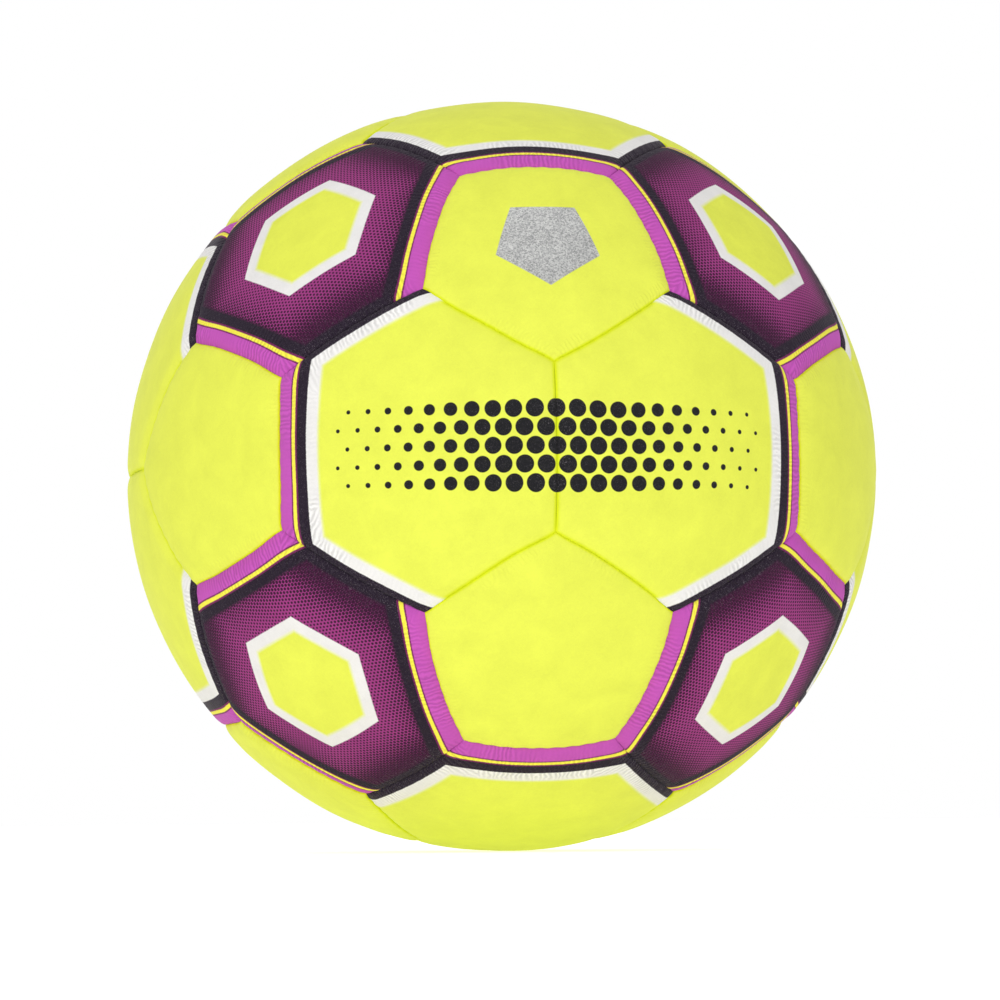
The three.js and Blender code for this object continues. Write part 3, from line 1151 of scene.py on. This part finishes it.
# %% [markdown]
# ## Printed dots
# Halftone and the band on the front are both rows of round dots, each row shifted by half a
# dot. A picture of dots would blur close up. Here two grids are laid over each other, and the
# distance from the nearest grid point says where ink lies, so the dots can also change in size.

# %% The dot group
dots, m, given, out = new_group(
    "printed_dots", {"Place": None, "Pitch": 1.1, "Radius": 0.3, "Softness": 0.08}, ["Mask"])


def distance_from_grid(maker, place, pitch, shift):
    """Distance from the nearest point of a grid whose cells are pitch wide and 1.732 as high."""
    split = maker.add("SeparateXYZ", {0: place}).outputs
    offsets = []
    for axis, cell in ((0, pitch), (1, maker.math("MULTIPLY", pitch, math.sqrt(3)))):
        moved = maker.math("MULTIPLY_ADD", cell, shift, split[axis])
        half = maker.math("MULTIPLY", cell, 0.5)
        offsets.append(maker.math("WRAP", moved, half, maker.math("MULTIPLY", half, -1.0)))
    x, y = offsets
    return maker.math("SQRT", maker.math("MULTIPLY_ADD", x, x, maker.math("MULTIPLY", y, y)))


grids = [distance_from_grid(m, given["Place"], given["Pitch"], shift) for shift in (0.0, 0.5)]
inside = m.math("SUBTRACT", given["Radius"], m.math("MINIMUM", *grids))
m.fill(out["Mask"], m.window(m.math("DIVIDE", inside, given["Softness"]), -0.5, 0.5))
print("Group", dots.name, "has", len(dots.nodes), "nodes")

# %% [markdown]
# ## Grain and weave
# Rubber, latex and waxed thread have a fine grain, and each is a little cloudy. Lining and patch
# are plain-woven cotton: threads that go over and under each other, which two crossed sine
# waves describe.

# %% The grain group and the weave group
grain, m, given, out = new_group("fine_grain", {"Size": 0.4, "Cloud": 12.0}, ["Shade", "Height"])
where = m.on_ball()
fine = m.noise(where, m.math("DIVIDE", 1.0, given["Size"]), detail=4.0, roughness=0.6)
cloud = m.noise(where, m.math("DIVIDE", 1.0, given["Cloud"]), detail=3.0, distortion=0.5)
m.fill(out["Shade"], m.blend(0.4, fine, cloud))
m.fill(out["Height"], fine)

weave, m, given, out = new_group("plain_weave", {"Pitch": 0.6}, ["Height"])
place = m.add("SeparateXYZ", {0: m.place("cloth")}).outputs
turns = [m.math("DIVIDE", m.math("MULTIPLY", place[i], math.pi), given["Pitch"]) for i in (0, 1)]
over = m.math("MULTIPLY", m.math("SINE", turns[0]), m.math("SINE", turns[1]))
ribs = [m.math("ABSOLUTE", m.math("COSINE", turn)) for turn in turns]
m.fill(out["Height"], m.blend(0.5, over, m.math("MAXIMUM", *ribs)))
print("Groups", grain.name, "and", weave.name)

# %% [markdown]
# ## Colours and stripes
# The felt is dyed yellow or printed purple, with stripes along the seams in pink, yellow, near
# black and white. Stripes like these could be painted on a picture, but here a colour ramp over
# the distance from the seams gives them. A ramp needs a stop where a stripe begins and another
# where it ends, so each stripe is written as a colour with two distances in millimetres.

# %% Name the colours and the stripes
YELLOW = srgb(235, 242, 88)
# The next colour is painted shade for the folds along the seams, not a dye.
FOLD_SHADE_YELLOW = srgb(226, 236, 26)
LINE_YELLOW = srgb(250, 240, 80)
WHITE = srgb(240, 238, 236)
PINK = srgb(198, 88, 186)
PLUM = srgb(120, 36, 92)
DARK = srgb(38, 28, 42)
PURPLE = srgb(160, 60, 130)
DOT_PURPLE = srgb(56, 18, 48)
BLACK = srgb(30, 30, 33)
FUZZ = srgb(190, 180, 190)
DULL_SILVER = srgb(132, 133, 133)
# The lighter silver is a painted glint on the flakes that catch the light.
GLINT_SILVER = srgb(194, 194, 192)

accent_width = 7.0
stripe_span = 18.0
core_start = 20.5
core_span = 40.0


def stops_of(stripes):
    """Ramp stops for stripes of ink, each with a colour and the distances of its two edges."""
    return [(distance, colour, 1) for colour, *edges in stripes for distance in edges]


frame_stripes = stops_of([
    (PINK, 0.0, 4.3), (PLUM, 4.45, 4.7), (LINE_YELLOW, 4.85, 5.75),
    (PLUM, 5.9, 6.25), (DARK, 6.45, 9.3), (WHITE, 9.5, 12.6),
]) + [(14.0, YELLOW, 0), (stripe_span, YELLOW, 0)]
edge_stripes = stops_of([
    (PINK, 0.0, 4.6), (PLUM, 4.75, 5.0), (LINE_YELLOW, 5.15, 6.1),
    (PLUM, 6.25, 6.6), (DARK, 6.8, 9.4),
]) + [(10.6, DOT_PURPLE, 0), (stripe_span, PURPLE, 0)]
core_stripes = [(0.0, WHITE, 0), (core_start, WHITE, 0)] + stops_of([
    (WHITE, core_start + 0.2, core_start + 3.2), (YELLOW, core_start + 4.4, core_span),
])
print(len(frame_stripes), "stops frame a yellow hexagon")

# %% [markdown]
# ## The layers of print
# A printer lays one ink after another on the dyed felt. Each layer here is a function that
# takes the colour so far and gives back the colour with its own ink on it, or with painted shade
# in the folds, so a felt is just a list of layers. A little noise on the distances lets the ink's edge
# follow the fibres.

# %% The stripes and the painted shade in the folds
ragged_scale = 2.6
ragged_reach = 0.32
fold_start = 0.1


def seam_inset(maker):
    """Distance from the nearest seam."""
    return maker.value("inset")


def print_distance(maker):
    """Where the stripes count from: 0 at an accent seam, accent_width at a contrast seam."""
    contrast = maker.math("ADD", maker.value("to_contrast"), accent_width)
    return maker.math("MINIMUM", maker.value("to_accent"), contrast)


def inked(maker, distance):
    """A distance whose stripes get a slightly ragged edge, as ink has on fibres."""
    ragged = maker.math("SUBTRACT", maker.noise(maker.on_ball(), ragged_scale, roughness=0.6), 0.5)
    return maker.math("MULTIPLY_ADD", ragged, ragged_reach, distance)


def striped(stripes, counted_from, span):
    """A layer of stripes that follow the seams."""
    def layer(maker, ground):
        colour, opacity = maker.ramp(inked(maker, counted_from(maker)), stripes, span)
        return maker.mix(opacity, ground, colour)
    return layer


def folded(width):
    """A layer of painted shade: darker, deeper yellow in the folds, because light that bounces in a fold
    picks up more of its colour.
    """
    def layer(maker, ground):
        return maker.mix(maker.window(seam_inset(maker), width, fold_start), ground, FOLD_SHADE_YELLOW)
    return layer


frame_layer = striped(frame_stripes, print_distance, stripe_span)
edge_layer = striped(edge_stripes, print_distance, stripe_span)
core_layer = striped(core_stripes, seam_inset, core_span)
hexagon_fold_shade = folded(1.2)
pentagon_fold_shade = folded(0.8)
print("Stripes reach", stripe_span, "mm from an accent seam")

# %% The dots and the silver mark
dot_pitch = 5.8
dot_rows = 5
largest_dot = 2.45
smallest_dot = 0.55
band_half_height = dot_pitch * math.sqrt(3) / 4 * dot_rows
band_half_width = dot_pitch * 10.75
mark_inset = 19.0
halftone_pitch = 1.15
halftone_reach = 21.0
halftone_smallest = 0.32
halftone_growth = 0.32


def halftone_layer(maker, ground):
    """Dark dots that shrink from the edge of a purple hexagon towards its middle."""
    near_edge = maker.window(seam_inset(maker), halftone_reach, 2.0)
    radius = maker.math("MULTIPLY_ADD", near_edge, halftone_growth, halftone_smallest)
    cloth = maker.place("cloth")
    halftone = use(maker, dots, place=cloth, pitch=halftone_pitch, radius=radius, softness=0.14)
    return maker.mix(halftone["Mask"], ground, DOT_PURPLE)


def band_layer(maker, ground):
    """A band of black dots across the two front hexagons, which shrink towards its ends."""
    place = maker.place("front")
    split = maker.add("SeparateXYZ", {0: place}).outputs
    across = maker.math("DIVIDE", maker.math("ABSOLUTE", split[0]), band_half_width)
    fade = maker.window(across, 1.0, 0.15)
    radius = maker.math("MULTIPLY_ADD", fade, largest_dot - smallest_dot, smallest_dot)
    inside = maker.math("LESS_THAN", maker.math("ABSOLUTE", split[1]), band_half_height)
    shown = maker.math("MULTIPLY", inside, maker.math("LESS_THAN", across, 1.0))
    mask = use(maker, dots, place=place, pitch=dot_pitch, radius=radius, softness=0.2)["Mask"]
    return maker.mix(maker.math("MULTIPLY", mask, shown), ground, BLACK)


def silver_mask(maker):
    """1 inside the silver pentagon, 0 outside."""
    return maker.window(seam_inset(maker), mark_inset, mark_inset + 0.3)


def silver_layer(maker, ground):
    """A small pentagon of glitter film. Each flake gets its own grey between dull and glinting silver, a
    painted glint for the light that it catches.
    """
    flake = maker.add("TexVoronoi", {"Vector": maker.on_ball(), "Scale": 3.0}).outputs["Color"]
    painted_glint = maker.add("SeparateColor", {0: flake}).outputs[0]
    return maker.mix(silver_mask(maker), ground, maker.mix(painted_glint, DULL_SILVER, GLINT_SILVER))


print(f"The band of dots is {2 * band_half_width:.0f} mm wide and {2 * band_half_height:.0f} mm high")

# %% [markdown]
# ## Felt
# Felt scatters light in all directions, so it is rough, with hardly any gloss. Sheen is the pale
# rim that fuzz shows at a grazing angle, and Principled has an input for it. The nap varies the
# colour's tone, the puckers paint their shade into it, and both bump the surface. Printed felt is
# stiffer: its ripples show far more than those of the plain felt.

# %% Name the ways of felt
nap_range = (0.3, 0.7)
nap_tones = (0.9, 1.06)
felt_roughness = (0.8, 1.0)
felt_gloss = 0.15
sheen_roughness = 0.45
yellow_sheen = 0.08
purple_sheen = 0.03
fuzz_depth = 0.16 * MM
fuzz_strength = 0.55
fleck_strength = 0.15
fleck_strength_in_fold = 0.35
film_polish = 0.45
film_metal = 0.6
pucker_pitch = 1.3
# tone is how strongly the puckers' painted shade darkens and lightens the colour; relief is their bump.
plain_ripples = {"counted_from": seam_inset, "reach": 4.0, "tone": 0.015, "relief": 0.45}
printed_ripples = {"counted_from": print_distance, "reach": 13.5, "tone": 0.15, "relief": 0.9}
print("Puckers are", pucker_pitch, "mm apart")


# %% The felt material
def flecked(maker, colour, flecks):
    """Light fibres over dark ink, and more of them in the folds."""
    darkness = maker.window(maker.add("RGBToBW", {0: colour}).outputs[0], 0.2, 0.02)
    in_fold = maker.window(seam_inset(maker), 7.0, 0.5)
    more = fleck_strength_in_fold - fleck_strength
    strength = maker.math("MULTIPLY_ADD", in_fold, more, fleck_strength)
    share = maker.math("MULTIPLY", maker.math("MULTIPLY", flecks, darkness), strength)
    return maker.mix(share, colour, FUZZ)


def felt_material(name, ground, layers, sheen, ripples, film=None):
    """Felt with layers of print, nap, puckers and sheen. Film is the mask of a metallic layer."""
    material, maker, shader = new_material(name)
    colour = ground
    for layer in layers:
        colour = layer(maker, colour)
    fuzz = use(maker, nap, fibre=0.3, cloud=9.0)
    distance = ripples["counted_from"](maker)
    wave = use(maker, puckers, distance=distance, pitch=pucker_pitch, reach=ripples["reach"])["Height"]
    shade = maker.spread(fuzz["Shade"], *nap_tones, *nap_range)
    # The puckers' wave paints light and dark shade into the colour.
    shade = maker.math("MULTIPLY_ADD", wave, ripples["tone"], shade)
    tone = maker.add("CombineColor", {0: shade, 1: shade, 2: shade}).outputs[0]
    toned = maker.mix(1.0, colour, tone, "MULTIPLY")
    maker.fill(shader.inputs["Base Color"], flecked(maker, toned, fuzz["Flecks"]))
    roughness = maker.spread(fuzz["Height"], *felt_roughness)
    if film:
        mask = film(maker)
        roughness = maker.math("MULTIPLY_ADD", mask, -film_polish, roughness)
        maker.fill(shader.inputs["Metallic"], maker.math("MULTIPLY", mask, film_metal))
    maker.fill(shader.inputs["Roughness"], roughness)
    height = maker.math("MULTIPLY_ADD", wave, ripples["relief"], fuzz["Height"])
    bump = maker.add("Bump", {"Height": height, "Strength": fuzz_strength, "Distance": fuzz_depth})
    maker.fill(shader.inputs["Normal"], bump.outputs["Normal"])
    shader.inputs["Sheen Weight"].default_value = sheen
    shader.inputs["Sheen Roughness"].default_value = sheen_roughness
    shader.inputs["Specular IOR Level"].default_value = felt_gloss
    return material


# %% The five felts
plain_felt = felt_material(
    "yellow_felt_plain", YELLOW, [pentagon_fold_shade], yellow_sheen, plain_ripples)
marked_felt = felt_material(
    "yellow_felt_silver_mark", YELLOW, [pentagon_fold_shade, silver_layer], yellow_sheen, plain_ripples,
    film=silver_mask)
framed_felt = felt_material(
    "yellow_felt_framed", YELLOW, [hexagon_fold_shade, frame_layer], yellow_sheen, printed_ripples)
front_felt = felt_material(
    "yellow_felt_front", YELLOW, [hexagon_fold_shade, band_layer, frame_layer], yellow_sheen,
    printed_ripples)
purple_felt = felt_material(
    "purple_felt_halftone", PURPLE, [halftone_layer, edge_layer, core_layer], purple_sheen,
    printed_ripples)
print("Felts:", [material.name for material in bpy.data.materials if "felt" in material.name])

# %% [markdown]
# ## Cloth, thread, latex and rubber
# The hidden pieces get honest finishes too: woven lining and patch, thread with the dull gloss
# of wax, milky latex with a little talc, and black moulded rubber. All of them vary between a
# dark and a light colour, so one function builds them, and a small one gives each its relief.

# %% The other materials
shade_range = (0.25, 0.75)
relief_strength = 0.6
latex_depth = 0.1


def simple_material(name, dark, light, roughness, relief):
    """A material between two colours. The relief function gives its shade, height and depth."""
    material, maker, shader = new_material(name)
    shade, height, depth = relief(maker)
    colour = maker.mix(maker.window(shade, *shade_range), srgb(*dark), srgb(*light))
    maker.fill(shader.inputs["Base Color"], colour)
    smooth, rough = roughness
    maker.fill(shader.inputs["Roughness"], maker.spread(shade, rough, smooth))
    bump = maker.add("Bump", {"Height": height, "Strength": relief_strength, "Distance": depth})
    maker.fill(shader.inputs["Normal"], bump.outputs["Normal"])
    return material


def grained(size, cloud, depth):
    """A relief of fine grain."""
    def relief(maker):
        found = use(maker, grain, size=size, cloud=cloud)
        return found["Shade"], found["Height"], depth
    return relief


def woven(pitch, depth):
    """A relief of woven threads with fibres on them."""
    def relief(maker):
        threads = use(maker, weave, pitch=pitch)["Height"]
        fibres = use(maker, grain, size=0.2, cloud=6.0)
        return maker.blend(0.5, threads, fibres["Shade"]), threads, depth
    return relief


lining_cloth = simple_material(
    "lining_cloth", (190, 186, 176), (226, 223, 214), (0.8, 0.95), woven(0.7, 0.1 * MM))
patch_cloth = simple_material(
    "patch_cloth", (196, 190, 174), (232, 228, 216), (0.8, 0.95), woven(0.6, 0.1 * MM))
thread_wax = simple_material(
    "waxed_thread", (50, 42, 52), (74, 64, 76), (0.4, 0.65), grained(0.12, 4.0, 0.03 * MM))
latex = simple_material(
    "bladder_latex", (214, 184, 128), (238, 220, 178), (0.35, 0.6), grained(0.5, 18.0, 0.02 * MM))
latex.node_tree.nodes["Principled BSDF"].inputs["Subsurface Weight"].default_value = latex_depth
rubber = simple_material(
    "valve_rubber", (28, 28, 30), (44, 44, 47), (0.45, 0.6), grained(0.3, 6.0, 0.02 * MM))
core_rubber = simple_material(
    "core_rubber", (34, 33, 33), (56, 54, 54), (0.4, 0.55), grained(0.25, 5.0, 0.02 * MM))
print(len(bpy.data.materials), "materials in all")

# %% [markdown]
# ## Assemble the ball
# Every piece stands for the CAD node of its name, and rides on the ball's one rigid body. A
# panel's place in the layout decides its felt, as a sewer picks panels from stacks by colour.

# %% Cover
front_names = ("hexagon_front_left", "hexagon_front_right")


def felt_for(panel):
    """The felt that a panel is cut from."""
    if panel["name"] == "pentagon_front_upper":
        return marked_felt
    if panel["name"].startswith("pentagon"):
        return plain_felt
    if panel["name"] in front_names:
        return front_felt
    return purple_felt if is_purple(panel["axis"]) else framed_felt


for panel in panels:
    felt = felt_for(panel)
    build = build_valve_panel if panel is valve_panel else build_panel
    stand_for(build(panel, [felt, lining_cloth]), panel["name"])
print(len(panels), "panels built")

# %% Thread, bladder and valve
for name in thread_names:
    stand_for(build_thread(name, thread_wax), name)

stand_for(turned_piece("bladder_skin", bladder_outline(), latex), "bladder")
stand_for(turned_piece("valve_body_moulding", valve_body_outline(), rubber), "valve_body")
stand_for(turned_piece("valve_core_plug", valve_core_outline(), core_rubber), "valve_core")
stand_for(turned_piece("valve_patch_disc", valve_patch_outline(), patch_cloth), "valve_patch")
print(len(thread_names), "threads, bladder and valve built")

# %% [markdown]
# ## The floor
# The ball lies on a pale floor that runs on to the horizon. A shadow catcher would need an
# alpha picture. Here the floor is white to the camera, through Light Path, and still takes the
# ball's shadow. To all other rays it is a grey that glows a little, like a lit studio floor.

# %% Floor
floor_reach = 30.0
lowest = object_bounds()[0][2]
floor_grey, seen_floor_grey = 0.85, 0.9
floor_glow, seen_floor_glow = 0.36, 0.55


def build_floor():
    """A large square under the ball."""
    corners = [(-1, -1), (1, -1), (1, 1), (-1, 1)]
    mesh = bpy.data.meshes.new("floor")
    mesh.from_pydata([(x * floor_reach, y * floor_reach, lowest) for x, y in corners], [], [(0, 1, 2, 3)])
    material, maker, shader = new_material("floor_white")
    seen = seen_rays(maker)
    colour = maker.mix(seen, grey(floor_grey), grey(seen_floor_grey))
    maker.fill(shader.inputs["Base Color"], colour)
    glow = maker.mix(seen, grey(floor_glow), grey(seen_floor_glow))
    maker.fill(shader.inputs["Emission Color"], glow)
    shader.inputs["Emission Strength"].default_value = 1.0
    shader.inputs["Roughness"].default_value = 0.9
    mesh.materials.append(material)
    link_object("floor", mesh)


build_floor()
print(f"Floor at {lowest / MM:.1f} mm")

# %% [markdown]
# ## Light
# The photograph was taken under large soft lights: its shadow is faint and its yellow is nearly
# even. One lamp would leave a dark side. An even world light does half of the work here, a low
# wide lamp lights the front, two more come from the upper left and from above, and one behind
# the ball lights its back. Their powers were fitted so that a colour renders about as written.

# %% World and lamps
ambient = 0.5
world = bpy.data.worlds.new("soft_studio")
bpy.context.scene.world = world
world.use_nodes = True
sky = Tree(world.node_tree)
sky.fill(sky.nodes["Background"].inputs["Color"], sky.mix(seen_rays(sky), grey(ambient), grey(1.0)))


def way_from_ball(azimuth, elevation):
    """The direction from the ball to a place. Azimuth 0 is in front and 90 is on the right."""
    a, e = math.radians(azimuth), math.radians(elevation)
    return np.array([math.sin(a) * math.cos(e), -math.cos(a) * math.cos(e), math.sin(e)])


def add_lamp(name, azimuth, elevation, distance, width, height, power):
    """A soft lamp that looks at the ball."""
    away = way_from_ball(azimuth, elevation)
    data = bpy.data.lights.new(name, "AREA")
    data.shape = "RECTANGLE"
    data.size = width
    data.size_y = height
    data.energy = power
    lamp = link_object(name, data)
    lamp.location = away * distance
    lamp.rotation_euler = Vector(away).to_track_quat("Z", "Y").to_euler()


# Name, azimuth and elevation in degrees, distance, width and height in metres, power in watts.
lamps = (
    ("key_lamp", -28, 34, 1.9, 1.1, 0.9, 3.4),
    ("low_lamp", -14, 1, 1.6, 2.2, 0.25, 7.1),
    ("top_lamp", 0, 80, 1.6, 1.2, 1.2, 4.6),
    ("back_lamp", 172, 12, 1.7, 1.8, 0.8, 11),
)
for lamp_row in lamps:
    add_lamp(*lamp_row)
print(len(lamps), "lamps")

# %% [markdown]
# ## Camera
# The camera's place was fitted to seam corners in the photograph, and so were the ball's centre
# and the radius of its outline, in pixels. A sphere's outline lies before its middle, on the
# cone that touches it, which is why the lens is worked out with a square root.

# %% Camera
picture_side = 1000
sensor = 36.0
view_azimuth = -7.9
view_elevation = -4.4
view_roll = -0.48
view_distance = 12 * ball_radius
outline_radius_px = 374.6
ball_centre_px = (501.5, 476.6)


def add_camera():
    """A camera that sees the ball's outline as large as the photograph does."""
    away = way_from_ball(view_azimuth, view_elevation)
    data = bpy.data.cameras.new("camera")
    data.sensor_width = sensor
    focal_px = outline_radius_px * math.sqrt((view_distance / ball_radius) ** 2 - 1)
    data.lens = focal_px / picture_side * sensor
    data.shift_x = -(ball_centre_px[0] / picture_side - 0.5)
    data.shift_y = ball_centre_px[1] / picture_side - 0.5
    data.clip_start = 0.05
    data.clip_end = 200
    camera = link_object("camera", data)
    camera.location = away * view_distance
    level = Vector(away).to_track_quat("Z", "Y")
    camera.rotation_euler = (level @ Quaternion((0, 0, 1), math.radians(view_roll))).to_euler()
    bpy.context.scene.camera = camera
    print(f"Camera {view_distance:.2f} m away, lens {data.lens:.1f} mm")


add_camera()
bpy.context.scene.view_settings.view_transform = "Standard"
